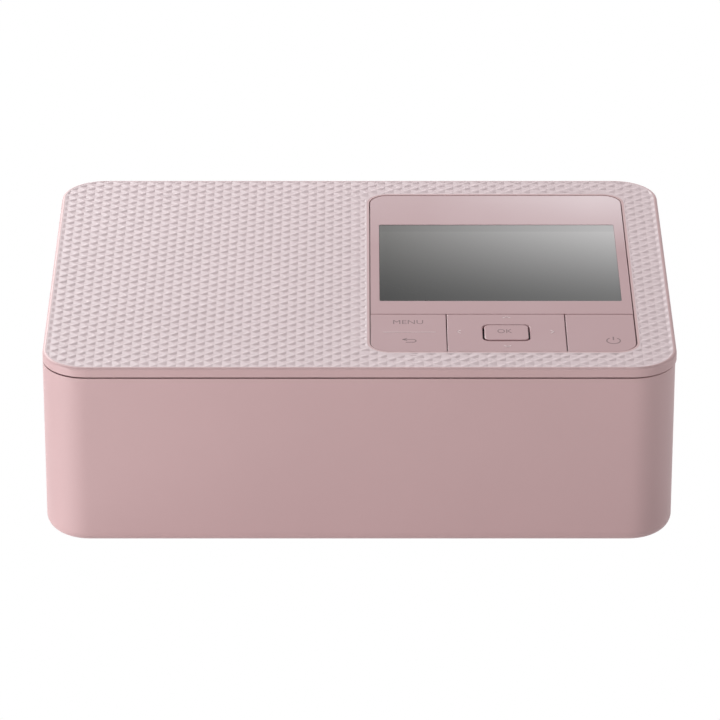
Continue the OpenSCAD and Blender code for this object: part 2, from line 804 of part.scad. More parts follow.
module usb_c_socket() {
    z = power_z + board_t;
    color(steel) translate([power_x, 0, z + 1.6]) {
        difference() {
            yprism(rear - 8, rear - 0.2) rrect(9, 3.2, 1.55);
            yprism(rear - 7, rear + 1) rrect(8.3, 2.5, 1.2);
        }
        yprism(rear - 7.5, rear - 1.4) square([6.6, 0.7], center = true);
    }
}

module dc_jack() {
    z = power_z - 5.6;
    color(black) difference() {
        box([power_x - 4.6, rear - 12.4, power_z - 11], [power_x + 4.6, rear - 0.3, power_z]);
        translate([power_x, rear - 10.4, z]) rotate([-90, 0, 0]) cylinder(h = far, r = 3.1);
    }
    color(brass) translate([power_x, rear - 11, z]) rotate([-90, 0, 0]) cylinder(h = 9, r = 0.85);
}

// ---------- guides ----------

module cassette_guide() {
    y0 = face_y + wall + air;
    y1 = feed_p[0] - feed_r - 1;
    xc = mech_x;
    w = bay_w + 2 * bay_wall;
    color(dark_grey) difference() {
        union() {
            box([xc - w / 2, y0, bay_z - bay_wall], [xc + w / 2, y1, bay_z + bay_h + bay_wall]);
            // Floor under the feed roller, turned up at its end as a ramp
            xprism(xc - bay_w / 2, xc + bay_w / 2) polygon([[y1 - 1, bay_z - bay_wall],
                [grip_y - 5, bay_z - bay_wall], [grip_y - 4.6, grip_p[1] - 1],
                [grip_y - 6.4, grip_p[1] - 1], [grip_y - 8, bay_z], [y1 - 1, bay_z]]);
            // Posts under the main board
            for (x = [xc - 50, xc + 50], y = [y0 + 6, y1 - 4])
                translate([x, y, bay_z + bay_h]) cylinder(h = main_z - bay_z - bay_h, r = 2.5);
        }
        box([xc - bay_w / 2, y0 - 1, bay_z], [xc + bay_w / 2, y1 + 1, bay_z + bay_h]);
    }
}

// Outline of the cartridge in Y and Z, grown by t
module ink_outline(t) {
    translate(takeup_p) circle(takeup_r + t);
    translate(supply_p) circle(supply_r + t);
    translate([takeup_p[0] - t, bridge_z - t]) square([supply_p[0] - takeup_p[0] + 2 * t, 16 + 2 * t]);
}

module ink_guide() {
    y0 = takeup_p[0] - takeup_r - 1.4;
    y1 = supply_p[0] + supply_r + 1.2;
    z0 = bridge_z - 1;
    z1 = max(takeup_p[1] + takeup_r, supply_p[1] + supply_r) + 1;
    t = 1.2;
    color(dark_grey) difference() {
        box([xr + 1.4, y0 - t, z0 - t], [right - wall - 3, y1 + t, z1 + t]);
        box([0, y0, z0], [far, y1, z1]);
        // Slot for the lock
        box([ink_x1, y0 - 5, z0 + 1], [ink_x1 + 3.4, y0 + 1, z0 + 13]);
    }
    // Foot on the frame plate
    color(dark_grey) box([xr + 1.4, y0 + 6, z_floor + 0.3], [xr + 8, y0 + 12, z0 - t + eps]);
}

module ink_lock() {
    y0 = takeup_p[0] - takeup_r - 1.4;
    z0 = bridge_z - 1;
    color(lock_orange) {
        box([ink_x1 + 0.4, y0 - 2.8, z0 + 1.3], [ink_x1 + 3, y0 - 1.4, z0 + 6.3]);
        box([ink_x1 + 0.4, y0 - 2.8, z0 + 1.3], [ink_x1 + 2, y0 + 2.2, z0 + 5.3]);
        box([ink_x1 + 0.4, y0 - 4.2, z0 + 1.3], [ink_x1 + 3, y0 - 1.4, z0 + 3]);
    }
}

module paper_guide() {
    color(black) {
        xprism(mech_x - paper_w / 2 - 3, mech_x + paper_w / 2 + 3) {
            polygon([[grip_p[0] + grip_r + 1, paper_z - 2.4], [platen_p[0] - platen_r - 0.6, paper_z - 2.4],
                [platen_p[0] - platen_r - 0.6, paper_z - 1.6], [platen_p[0] - platen_r - 2, paper_z - 0.9],
                [grip_p[0] + grip_r + 1, paper_z - 0.9]]);
            translate([grip_y + 10, z_floor + 2]) square([1.5, paper_z - 2.3 - z_floor - 2]);
        }
        xprism(mech_x - paper_w / 2 - 3, mech_x + paper_w / 2 + 3) {
            polygon([[platen_p[0] + platen_r + 0.8, paper_z - 2.6], [rear - wall - 0.4, paper_z - 2.6],
                [rear - wall - 0.4, paper_z - 1.8], [rear - wall - 3, paper_z - 0.9],
                [platen_p[0] + platen_r + 1.6, paper_z - 0.9]]);
            translate([grip_y + 42, z_floor + 2]) square([1.5, paper_z - 2.5 - z_floor - 2]);
        }
    }
}

// ---------- frame ----------

function hole(p, r) = [p[0], p[1], r];
function frame_holes(r) = [hole(grip_p, r), hole(platen_p, r), hole(feed_p, r), hole(pinch_p, 1.6)];
bush_r = 4;
tie_places = [[grip_y - 5.5, paper_z + 22], [grip_y + 46, 11]];
tie_r = 2;

module frame_shape() {
    z0 = z_floor + 0.5;
    polygon([[feed_p[0] - 10, z0 + 12], [feed_p[0] + 2, z0], [grip_y + 56, z0], [grip_y + 56, paper_z + 4],
        [grip_y + 55, paper_z + 27], [grip_y - 8.4, paper_z + 27], [grip_y - 8.4, feed_p[1] + 6],
        [feed_p[0] - 10, feed_p[1] + 6]]);
}

module frame_left() {
    color(steel) {
        difference() {
            drilled_plate(xl, xl + plate_t, concat(frame_holes(bush_r), [hole(takeup_p, bush_r),
                hole(head_p, 2 + run_fit), hole(tie_places[0], tie_r - 0.5),
                hole(tie_places[1], tie_r - 0.5)])) frame_shape();
        }
        // Foot
        box([xl - 8, grip_y + 16, z_floor + 0.5], [xl + eps, grip_y + 42, z_floor + 0.5 + plate_t]);
    }
}

module frame_right() {
    color(steel) {
        difference() {
            drilled_plate(xr - plate_t, xr, concat(frame_holes(bush_r), [hole(head_p, 2 + run_fit),
                hole(tie_places[0], tie_r - 0.5), hole(tie_places[1], tie_r - 0.5)])) frame_shape();
            xprism(xr - far, xr + 1) ink_outline(0.6);
        }
        box([xr - eps, grip_y + 18, z_floor + 0.5], [xr + 8, grip_y + 42, z_floor + 0.5 + plate_t]);
    }
}

module frame_stay() {
    z0 = z_floor + 0.5;
    color(steel) difference() {
        union() {
            box([xl + plate_t + 0.1, grip_y - 3, z0], [xr - plate_t - 0.1, grip_y + 54, z0 + plate_t]);
            for (x = [xl + plate_t + 0.1, xr - 2 * plate_t - 0.1])
                box([x, grip_y + 32, z0], [x + plate_t, grip_y + 43, z0 + 9]);
        }
        for (i = [0:4]) translate([mech_x - 44 + i * 22, grip_y + 48, 0]) cylinder(h = far, r = 3);
    }
}

module tie_bars() {
    color(steel) for (p = tie_places) at_yz(p) {
        xcyl(xl + plate_t, xr - plate_t, tie_r);
        xcyl(xl - 0.4, xr + 0.4, tie_r - 0.5);
    }
}

module bush(x0, x1, flange_x, bore) {
    difference() {
        union() {
            xcyl(x0, x1, bush_r);
            xcyl(flange_x, flange_x + 0.6, bush_r + 0.8);
        }
        xcyl(x0 - 1, x1 + 1, bore);
    }
}

module bushes() {
    color(brass) {
        for (p = [grip_p, platen_p, feed_p]) at_yz(p) {
            bush(xl - 0.6, xl + plate_t + 0.8, xl - 0.6, journal_r + run_fit);
            bush(xr - plate_t - 0.8, xr + 0.6, xr, journal_r + run_fit);
        }
        at_yz(takeup_p) bush(xl - 0.6, xl + plate_t + 0.4, xl - 0.6, journal_r + run_fit);
    }
}

module motor_bracket() {
    color(steel) {
        drilled_plate(bracket_x - plate_t, bracket_x, [hole(motor_p, 3), hole(lift_p, 3)])
            translate([grip_y, 0]) polygon([[8, 9], [40, 9], [56, 20], [56, 38], [26, 38], [8, 26]]);
        // Stud of the reduction gear and the two posts to the frame plate
        at_yz(reduce_p) xcyl(bracket_x - eps, xl, 1.5);
        for (p = [[grip_y + 36, 12], [grip_y + 32, 35]]) at_yz(p) xcyl(bracket_x - eps, xl, 2);
    }
}

module pinch_holder() {
    z = pinch_p[1] + pinch_r + 1;
    color(steel) xprism(xl + plate_t + 0.1, xr - plate_t - 0.1) {
        translate([grip_y - 7, z]) square([6.4, 1]);
        translate([grip_y - 7, z]) square([1, tie_places[0][1] - tie_r - 0.3 - z]);
    }
}

module pinch_springs() {
    t = 0.3;
    top = pinch_r + 1;
    color(steel) for (x = [xl + plate_t + 1, xr - plate_t - 5]) xprism(x, x + 4) translate(pinch_p)
        polygon([[-6, top], [t - 6, top], [0, 1.55 + t], [2, 1.75 + t], [2, 1.75], [-0.2, 1.55]]);
}

// ---------- rollers and gears ----------

module platen_roller() {
    w = paper_w + 8;
    color(rubber) at_yz(platen_p) difference() {
        xcyl(mech_x - w / 2, mech_x + w / 2, platen_r);
        xcyl(mech_x - w, mech_x + w, 4);
    }
}

module platen_shaft() {
    color(steel) at_yz(platen_p) {
        xcyl(xl + plate_t + 1.2, xr - plate_t - 1.2, 4);
        xcyl(xl - 0.7, xr + 0.7, journal_r);
    }
}

module grip_roller() {
    color(steel) at_yz(grip_p) {
        xcyl(xl + plate_t + 1.2, xr - plate_t - 1.2, grip_r);
        xcyl(layer_a - 0.2, xr + 1, journal_r);
    }
}

module grip_gear() { color(gear_white) at_yz(grip_p) gear(grip_n, layer_a, grip_t, journal_r); }

module pinch_roller() {
    w = paper_w + 8;
    color(dark_grey) at_yz(pinch_p) {
        xcyl(mech_x - w / 2, mech_x + w / 2, pinch_r);
        xcyl(xl + 0.2, xr - 0.2, 1.55);
    }
}

module feed_shaft() {
    color(steel) at_yz(feed_p) xcyl(layer_a - 0.2, xr + 1, journal_r);
}

module feed_tyres() {
    color(rubber) for (x = [-22, 22]) at_yz(feed_p) difference() {
        xcyl(mech_x + x - 7, mech_x + x + 7, feed_r);
        xcyl(-far, far, journal_r);
    }
}

module feed_gear() { color(gear_white) at_yz(feed_p) gear(feed_n, layer_a, feed_t, journal_r); }

module reduction_gear() {
    color(gear_white) at_yz(reduce_p) {
        gear(step_n, layer_a, step_t, 1.5 + run_fit, gear_w);
        gear(reduce_n, layer_b, step_t, 1.5 + run_fit);
        difference() {
            xcyl(layer_b + gear_w - eps, layer_a + eps, 3.4);
            xcyl(-far, far, 1.5 + run_fit);
        }
    }
}

module motor_can(p, r, l) {
    x1 = bracket_x - plate_t;
    at_yz(p) difference() {
        union() {
            xcyl(x1 - l, x1, r);
            xcyl(x1 - eps, x1 + plate_t, 2.9);
        }
        xcyl(x1 - 4, far, 1 + run_fit);
    }
}

motor_room = bracket_x - plate_t - left - wall;
module feed_motor() { color(alu) motor_can(motor_p, 10, motor_room - 2.8); }
module head_motor() { color(alu) motor_can(lift_p, 8, 0.72 * (motor_room - 2.8)); }

module feed_pinion() {
    color(brass) at_yz(motor_p) {
        gear(pinion_n, layer_b, pinion_t, 0.8);
        xcyl(bracket_x - plate_t - 3, layer_b + gear_w, 1);
    }
}

module head_pinion() {
    color(brass) at_yz(lift_p) {
        gear(pinion_n, layer_b, lift_t, 0.8);
        xcyl(bracket_x - plate_t - 3, layer_b + gear_w, 1);
    }
}

module takeup_drive() {
    color(gear_white) at_yz(takeup_p) difference() {
        union() {
            gear(takeup_n, layer_a, takeup_t, 1);
            xcyl(layer_a, xl + plate_t + 0.9, journal_r);
        }
        // Slot of the coupling
        box([xl + plate_t + 0.4, -0.8, -far], [far, 0.8, far]);
    }
}

// ---------- print head ----------

// Places the head's parts, drawn lowered, in the lifted rest position
module head_lift() {
    at_yz(head_p) rotate([-head_swing, 0, 0]) at_yz([-head_p[0], -head_p[1]]) children();
}

head_y0 = platen_p[0] - 3;
head_y1 = platen_p[0] + 3;
head_z = paper_z + 0.4;

module head_carrier() {
    w = paper_w + 6;
    color(steel) head_lift() {
        // Plate over the supply tube, with two ears on the shaft
        box([mech_x - w / 2, head_y0, head_p[1]], [mech_x + w / 2, head_p[0] - 3, head_p[1] + 1]);
        for (x = [mech_x - w / 2, mech_x + w / 2 - 1.2]) difference() {
            union() {
                at_yz(head_p) xcyl(x, x + 1.2, 3.6);
                box([x, head_p[0] - 8, head_p[1] - 2.5], [x + 1.2, head_p[0], head_p[1] + 1]);
            }
            at_yz(head_p) xcyl(-far, far, 2);
        }
    }
}

module head_shaft() {
    color(steel) at_yz(head_p) xcyl(layer_b, xr + 1, 2);
    // Toothed sector on the left end
    color(gear_white) at_yz(head_p) xprism(layer_b, layer_b + gear_w) difference() {
        union() {
            intersection() {
                rotate(sector_t) polygon(concat([[0, 0]], gear_points(sector_n, -3, 3), [[0, 0]]));
                circle(far);
            }
            circle(4);
        }
        circle(2);
    }
}

module heat_sink() {
    w = paper_w + 4;
    color(alu) head_lift() difference() {
        box([mech_x - w / 2, head_y0, head_z + 2], [mech_x + w / 2, head_y1, head_p[1]]);
        // Cooling slots
        for (i = [0:4])
            box([-far, head_y0 - 1, head_z + 8 + i * 2.6], [far, head_y0 + 4, head_z + 9.3 + i * 2.6]);
    }
}

module print_head() {
    w = paper_w + 4;
    color(black) head_lift() {
        box([mech_x - w / 2, head_y0, head_z + 0.8], [mech_x + w / 2, head_y1, head_z + 2]);
        translate([0, platen_p[0], head_z + 0.8]) xcyl(mech_x - w / 2, mech_x + w / 2, 0.8);
    }
}

// ---------- ribbon cartridge ----------

module ink_tube(p, r, a) {
    translate(p) difference() {
        circle(r);
        circle(r - ink_wall);
        rotate(a) translate([0, -2.5]) square([far, 5]);
    }
}

module ink_case() {
    x0 = ink_x0;
    x1 = ink_x1;
    end = 2.5;
    journal = 2 + run_fit;
    color(dark_grey) {
        xprism(x0, x1 - 12) {
            ink_tube(takeup_p, takeup_r, -61);
            ink_tube(supply_p, supply_r, -119);
        }
        // End plates with the bearings of the spools
        for (x = [x0, x1 - 12]) xprism(x, x + end) difference() {
            union() {
                translate(takeup_p) circle(takeup_r);
                translate(supply_p) circle(supply_r);
                translate([takeup_p[0], bridge_z]) square([supply_p[0] - takeup_p[0], bridge_t]);
            }
            translate(takeup_p) circle(journal);
            translate(supply_p) circle(journal);
        }
        // Rear end with the grip
        xprism(x1 - 12 + end - eps, x1 - 5) difference() {
            ink_outline(0);
            translate(takeup_p) circle(3);
            translate(supply_p) circle(3);
        }
        xprism(x1 - 5 - eps, x1) {
            ink_outline(0);
        }
        xprism(x1 - eps, x1 + 9) translate([grip_y + 22, bridge_z + 6]) rrect(16, 3, 1.4);
    }
}

module spool(p, wound) {
    at_yz(p) {
        xcyl(ink_x0 + 3, ink_x1 - 12.5, 2.8);
        xcyl(ink_x0 + 6, ink_x0 + 6 + paper_w + 8, wound);
        xcyl(ink_x0 - 0.9, ink_x1 - 9, 2);
    }
}

module supply_spool() { color(film) spool(supply_p, supply_r - ink_wall - 1.5); }

module takeup_spool() {
    color(film) {
        spool(takeup_p, takeup_r - ink_wall - 2.4);
        // Blade that enters the coupling
        at_yz(takeup_p) box([xl + plate_t + 0.6, -0.6, -1.9], [ink_x0, 0.6, 1.9]);
    }
}

module ink_ribbon() {
    t = 0.12;
    a = polar(takeup_p, takeup_r + 0.4, -61);
    b = polar(supply_p, supply_r + 0.4, -119);
    color(film) xprism(ink_x0 + 8, ink_x0 + 8 + paper_w + 4)
        polygon([a, b, b + [0, t], a + [0, t]]);
}

// ---------- output ----------

main_housing();
base_plate();
rubber_feet();
top_cover();
front_door();
front_door_pins();
ink_door();
ink_door_pins();
control_panel();
display_window();
display_module();
menu_key();
nav_pad();
nav_carrier();
ok_key();
power_key();
panel_board();
key_switches();
panel_cable();
main_board();
power_board();
card_socket();
usb_a_socket();
usb_c_socket();
dc_jack();
cassette_guide();
ink_guide();
ink_lock();
frame_left();
frame_right();
frame_stay();
tie_bars();
bushes();
motor_bracket();
paper_guide();
pinch_holder();
pinch_springs();
platen_roller();
platen_shaft();
grip_roller();
grip_gear();
pinch_roller();
feed_shaft();
feed_tyres();
feed_gear();
reduction_gear();
feed_motor();
feed_pinion();
head_motor();
head_pinion();
head_carrier();
head_shaft();
heat_sink();
print_head();
takeup_drive();
ink_case();
supply_spool();
takeup_spool();
ink_ribbon();
case_screws();
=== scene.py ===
# Compact photo printer: finishes, embossed top cover, softened edges, ribbon, key legends, studio.
# Metres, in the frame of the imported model: the front faces -Y and +Z is up.
# Sizes of pieces are written in millimetres and turned into metres with MM.
import json
from math import cos, pi, radians, sin

import bmesh
import bpy
from mathutils import Matrix, Vector


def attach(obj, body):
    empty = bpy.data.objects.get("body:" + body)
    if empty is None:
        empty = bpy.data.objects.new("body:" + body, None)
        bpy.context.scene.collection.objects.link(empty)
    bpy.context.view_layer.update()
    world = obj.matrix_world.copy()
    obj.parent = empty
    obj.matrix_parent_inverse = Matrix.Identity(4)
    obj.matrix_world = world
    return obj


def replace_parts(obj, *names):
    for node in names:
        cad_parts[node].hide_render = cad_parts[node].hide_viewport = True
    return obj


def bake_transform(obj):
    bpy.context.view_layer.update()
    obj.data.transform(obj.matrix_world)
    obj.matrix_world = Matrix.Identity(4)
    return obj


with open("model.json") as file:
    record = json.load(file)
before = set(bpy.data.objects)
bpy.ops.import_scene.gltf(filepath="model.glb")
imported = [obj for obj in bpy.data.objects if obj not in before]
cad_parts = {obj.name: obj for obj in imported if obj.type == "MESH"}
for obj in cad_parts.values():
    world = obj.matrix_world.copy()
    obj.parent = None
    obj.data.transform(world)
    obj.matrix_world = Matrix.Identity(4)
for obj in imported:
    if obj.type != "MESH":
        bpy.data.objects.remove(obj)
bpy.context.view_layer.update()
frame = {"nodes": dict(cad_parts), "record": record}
cad = frame["nodes"]
scene = bpy.context.scene
MM = 0.001


# ---------- node helpers ----------

MIX_FACTOR, MIX_A, MIX_B, MIX_RESULT = 0, 6, 7, 2       # sockets of a Mix node set to colours


def tree_of(material):
    """An empty node tree with a Principled shader on its output."""
    material.use_nodes = True
    tree = material.node_tree
    tree.nodes.clear()
    out = tree.nodes.new("ShaderNodeOutputMaterial")
    shader = tree.nodes.new("ShaderNodeBsdfPrincipled")
    tree.links.new(shader.outputs["BSDF"], out.inputs["Surface"])
    return tree, shader


def add(tree, kind, sockets=None, **settings):
    """A new node. A socket takes either another node's output or a value."""
    node = tree.nodes.new("ShaderNode" + kind)
    for key, value in settings.items():
        setattr(node, key, value)
    for key, value in (sockets or {}).items():
        if isinstance(value, bpy.types.NodeSocket):
            tree.links.new(value, node.inputs[key])
        else:
            node.inputs[key].default_value = value
    return node


def calculate(tree, operation, a, b):
    return add(tree, "Math", {0: a, 1: b}, operation=operation).outputs[0]


def place(tree, stretch=(1, 1, 1)):
    """Object coordinates, stretched."""
    coords = add(tree, "TexCoord").outputs["Object"]
    return add(tree, "Mapping", {"Vector": coords, "Scale": stretch}).outputs["Vector"]


def axes_of(tree):
    """Object coordinates as three single values."""
    return add(tree, "SeparateXYZ", {"Vector": add(tree, "TexCoord").outputs["Object"]}).outputs


def noise(tree, where, grain_mm, detail=3.0, rough=0.55):
    """Noise whose blobs are about grain_mm across."""
    return add(tree, "TexNoise", {"Vector": where, "Scale": 1 / (grain_mm * MM), "Detail": detail,
                                  "Roughness": rough}).outputs["Fac"]


def spread(tree, value, low, high, start=0.3, end=0.7):
    """A value stretched from start..end to low..high."""
    return add(tree, "MapRange", {"Value": value, "From Min": start, "From Max": end,
                                  "To Min": low, "To Max": high}).outputs["Result"]


def mixed(tree, factor, a, b, **settings):
    """A mix of two colours. Each is another node's output or three values."""
    a, b = [c if isinstance(c, bpy.types.NodeSocket) else (*c, 1) for c in (a, b)]
    node = add(tree, "Mix", {MIX_FACTOR: factor, MIX_A: a, MIX_B: b}, data_type="RGBA", **settings)
    return node.outputs[MIX_RESULT]


def bump(tree, shader, height, depth_mm):
    node = add(tree, "Bump", {"Height": height, "Distance": depth_mm * MM, "Strength": 1.0})
    tree.links.new(node.outputs["Normal"], shader.inputs["Normal"])


def drift(colour, amount):
    """A darker and a lighter tone of a colour."""
    return [tuple(max(0.0, min(1.0, c * share)) for c in colour)
            for share in (1 - amount, 1 + amount)]


def moulded(name, colour, rough=0.42, grain=0.35, depth=0.012, change=0.02, gloss=0.5):
    """Injection moulded plastic: eroded grain, slow change of tone and uneven gloss."""
    material = bpy.data.materials.new(name)
    tree, shader = tree_of(material)
    where = place(tree)
    fine = noise(tree, where, grain, 2.0, 0.6)
    slow = noise(tree, where, 40.0, 2.0)
    tone = mixed(tree, spread(tree, slow, 0, 1), *drift(colour, change))
    tree.links.new(tone, shader.inputs["Base Color"])
    tree.links.new(spread(tree, fine, rough - 0.05, rough + 0.05), shader.inputs["Roughness"])
    shader.inputs["Specular IOR Level"].default_value = gloss
    bump(tree, shader, fine, depth)
    return material


def brushed(name, colour, rough, along):
    """Rolled or turned metal with fine lines along one axis: 0 is X, 1 is Y."""
    material = bpy.data.materials.new(name)
    tree, shader = tree_of(material)
    stretch = [1.0, 1.0, 1.0]
    stretch[along] = 0.03
    streaks = noise(tree, place(tree, stretch), 0.25, 2.0)
    slow = noise(tree, place(tree), 12.0)
    tone = mixed(tree, spread(tree, slow, 0, 1), *drift(colour, 0.06))
    tree.links.new(tone, shader.inputs["Base Color"])
    tree.links.new(spread(tree, streaks, rough - 0.07, rough + 0.08), shader.inputs["Roughness"])
    shader.inputs["Metallic"].default_value = 1.0
    bump(tree, shader, streaks, 0.006)
    return material


# ---------- finishes ----------

PINK = (0.56, 0.370, 0.376)
# The embossed cover is the case's plastic, its pink made lighter and greyer by a painted sheen
EMBOSSED_PINK_PAINTED_SHEEN = (0.66, 0.53, 0.55)
# Panel: its own tone at the front, and at the rear right a tone lightened by a painted reflection
PANEL_FRONT = (0.47, 0.285, 0.300)
PANEL_BACK_PAINTED_REFLECTION = (0.77, 0.62, 0.645)

# The display window's tones at its four corners, lightened towards the rear right by a painted
# reflection, and how they blend
WINDOW_FRONT_WITH_PAINTED_REFLECTION = ((0.003, 0.003, 0.0025), (0.125, 0.125, 0.124))      # left, right
WINDOW_BACK_WITH_PAINTED_REFLECTION = ((0.155, 0.152, 0.146), (0.575, 0.565, 0.567))
WINDOW_REFLECTION_SPAN_X, WINDOW_REFLECTION_SPAN_Y = (0.008, 0.075), (-0.019, 0.0285)
WINDOW_REFLECTION_FALL = 1.3                       # power of the blend from front to back
# Painted shade: a darker band along the rear edge of the window
SHADE_BAND_Y, SHADE_BAND_TONE = 0.0284, 0.9         # the window is a little darker behind this line


def board_finish():
    """Green solder mask over copper tracks."""
    material = bpy.data.materials.new("green_circuit_board")
    tree, shader = tree_of(material)
    where = place(tree)
    tracks = add(tree, "TexBrick", {
        "Vector": where, "Scale": 260.0, "Mortar Size": 0.05, "Brick Width": 1.4, "Row Height": 0.5,
        "Color1": (0.012, 0.10, 0.04, 1), "Color2": (0.016, 0.13, 0.05, 1),
        "Mortar": (0.05, 0.24, 0.09, 1)})
    tree.links.new(tracks.outputs["Color"], shader.inputs["Base Color"])
    tree.links.new(spread(tree, noise(tree, where, 1.5), 0.25, 0.4), shader.inputs["Roughness"])
    bump(tree, shader, tracks.outputs["Fac"], 0.02)
    return material


def panel_finish():
    """Smooth pink panel: satin gloss, with a painted reflection that makes it a little lighter
    towards its rear right corner.
    """
    material = bpy.data.materials.new("smooth_pink_panel_painted_reflection")
    tree, shader = tree_of(material)
    axes = axes_of(tree)
    # Painted reflection: the tone lightens towards the rear and to the right
    rear = spread(tree, axes["Y"], 0, 1, 0.012, 0.052)
    right = spread(tree, axes["X"], 0.25, 1, 0.020, 0.070)
    where = place(tree)
    fine = noise(tree, where, 0.25, 2.0, 0.6)
    slow = spread(tree, noise(tree, where, 30.0, 2.0), -0.04, 0.04)
    tone = calculate(tree, "ADD", calculate(tree, "MULTIPLY", rear, right), slow)
    tree.links.new(mixed(tree, tone, PANEL_FRONT, PANEL_BACK_PAINTED_REFLECTION), shader.inputs["Base Color"])
    tree.links.new(spread(tree, fine, 0.30, 0.38), shader.inputs["Roughness"])
    bump(tree, shader, fine, 0.003)
    return material


def window_finish():
    """Grey tinted display window with a painted reflection: its tone deepens from the rear right to
    the front left, and a strip along its rear edge is painted shade.
    """
    material = bpy.data.materials.new("display_window")
    tree, shader = tree_of(material)
    axes = axes_of(tree)
    # Painted reflection: the tone lightens to the right and towards the rear
    along_x = spread(tree, axes["X"], 0, 1, *WINDOW_REFLECTION_SPAN_X)
    along_y = calculate(tree, "POWER", spread(tree, axes["Y"], 0, 1, *WINDOW_REFLECTION_SPAN_Y), WINDOW_REFLECTION_FALL)
    front, back = mixed(tree, along_x, *WINDOW_FRONT_WITH_PAINTED_REFLECTION), mixed(tree, along_x, *WINDOW_BACK_WITH_PAINTED_REFLECTION)
    tone = mixed(tree, along_y, front, back)
    # Painted shade: the tone is darkened behind the band's line
    band = calculate(tree, "GREATER_THAN", axes["Y"], SHADE_BAND_Y)
    tone = mixed(tree, band, tone, (SHADE_BAND_TONE,) * 3, blend_type="MULTIPLY")
    tree.links.new(tone, shader.inputs["Base Color"])
    gloss = spread(tree, noise(tree, place(tree), 3.0), 0.10, 0.16)
    tree.links.new(gloss, shader.inputs["Roughness"])
    shader.inputs["Specular IOR Level"].default_value = 0.15
    return material


finish = {
    "shell": moulded("satin_pink_case", PINK, rough=0.5, grain=0.3, depth=0.008, change=0.012,
                     gloss=0.6),
    # Lighter, greyer base than the case: painted sheen on the embossed cover
    "embossed": moulded("embossed_pink_cover_painted_sheen", EMBOSSED_PINK_PAINTED_SHEEN, rough=0.45, grain=0.3, depth=0.006,
                        change=0.012),
    "panel": panel_finish(),
    "window": window_finish(),
    "display": moulded("display_glass", (0.03, 0.032, 0.034), rough=0.15, depth=0.001),
    "board": board_finish(),
    "dark_plastic": moulded("black_plastic", (0.02, 0.02, 0.022), rough=0.5),
    "grey_plastic": moulded("grey_plastic", (0.06, 0.06, 0.066), rough=0.55),
    "gear_plastic": moulded("natural_gear_plastic", (0.74, 0.74, 0.68), rough=0.35, depth=0.004),
    "lock_plastic": moulded("orange_plastic", (0.68, 0.19, 0.03), rough=0.35, depth=0.005),
    "film": moulded("ribbon_film", (0.25, 0.10, 0.04), rough=0.18, grain=2.0, depth=0.01,
                    gloss=0.6),
    "rubber": moulded("grey_rubber", (0.028, 0.028, 0.03), rough=0.75, grain=0.5, depth=0.02),
    "steel": brushed("zinc_plated_steel", (0.52, 0.53, 0.55), 0.32, 1),
    "aluminium": brushed("drawn_aluminium", (0.66, 0.66, 0.68), 0.28, 0),
    "brass": brushed("turned_brass", (0.62, 0.45, 0.16), 0.26, 0),
}
ink = moulded("grey_print", (0.20, 0.12, 0.125), rough=0.5, depth=0.002)
# Lighter than the keys: a painted highlight on the raised signs moulded in them
painted_highlight = moulded("raised_sign_painted_highlight", (0.70, 0.56, 0.57), rough=0.45, depth=0.002)

slot_of = {}
for part in frame["record"]["subparts"]:
    slot_of[part["node"]] = part["material_slot"]
    for holder in cad[part["node"]].material_slots:
        holder.material = finish[part["material_slot"]]


# ---------- pieces ----------

# Sizes that repeat the CAD, in millimetres
CASE_W, CASE_D, CASE_H, CORNER_R = 182.2, 133.0, 57.6, 13.0
PANEL_X, PANEL_Y, PANEL_W, PANEL_D, PANEL_R = 41.45, -0.1, 76.5, 109.8, 5.7
PANEL_GAP = 0.3
PANEL_Z = 57.5
OK_TOP = 57.6


def once(items):
    """The items without repeats, in their order."""
    return list(dict.fromkeys(items))


def shifted(bm, verts, x, y, z):
    """Moves verts by millimetres."""
    bmesh.ops.translate(bm, vec=(x * MM, y * MM, z * MM), verts=verts)


def thickened(bm, rise):
    """Gives the whole flat sheet a thickness of rise mm, upwards, and closes it."""
    up = bmesh.ops.extrude_face_region(bm, geom=bm.faces[:] + bm.edges[:] + bm.verts[:])
    shifted(bm, [g for g in up["geom"] if isinstance(g, bmesh.types.BMVert)], 0, 0, rise)
    bmesh.ops.recalc_face_normals(bm, faces=bm.faces)


def piece(name, bm, material, body, smooth=None):
    """A finished mesh piece that rides on a body. With no body it is left unattached."""
    mesh = bpy.data.meshes.new(name)
    bm.to_mesh(mesh)
    bm.free()
    made = bpy.data.objects.new(name, mesh)
    scene.collection.objects.link(made)
    mesh.materials.append(material)
    if smooth is not None:
        mesh.shade_smooth()
        mesh.set_sharp_from_angle(angle=radians(smooth))
    if body:
        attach(made, body)
    return made


def softened(node, body, width, from_angle=40, recess=None):
    """A copy of a CAD node, merged and with its sharp edges rounded by width mm.
    recess is (x0, x1, y0, y1, z, slope): the rim of an opening that gets a sloping bevel."""
    bm = bmesh.new()
    bm.from_mesh(cad[node].data)
    bmesh.ops.remove_doubles(bm, verts=bm.verts, dist=2e-6)
    bmesh.ops.dissolve_limit(bm, angle_limit=radians(0.5), verts=bm.verts, edges=bm.edges,
                             delimit={"NORMAL"})
    if recess:
        x0, x1, y0, y1, z, slope = recess
        rim = [e for e in bm.edges if all(x0 < v.co.x / MM < x1 and y0 < v.co.y / MM < y1
                                          and abs(v.co.z / MM - z) < 0.01 for v in e.verts)]
        rim = [e for e in rim if len(e.link_faces) == 2 and e.calc_face_angle(0) > 1.0]
        bmesh.ops.bevel(bm, geom=rim, offset=slope * MM, offset_type="OFFSET", segments=1,
                        profile=0.5, affect="EDGES", material=-1, clamp_overlap=True)
    made = piece(node + "_soft", bm, finish[slot_of[node]], body, smooth=30)
    edge = made.modifiers.new("edge", "BEVEL")
    edge.width = width * MM
    edge.segments = 3
    edge.limit_method = "ANGLE"
    edge.angle_limit = radians(from_angle)
    edge.harden_normals = True
    edge.use_clamp_overlap = True
    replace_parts(made, node)


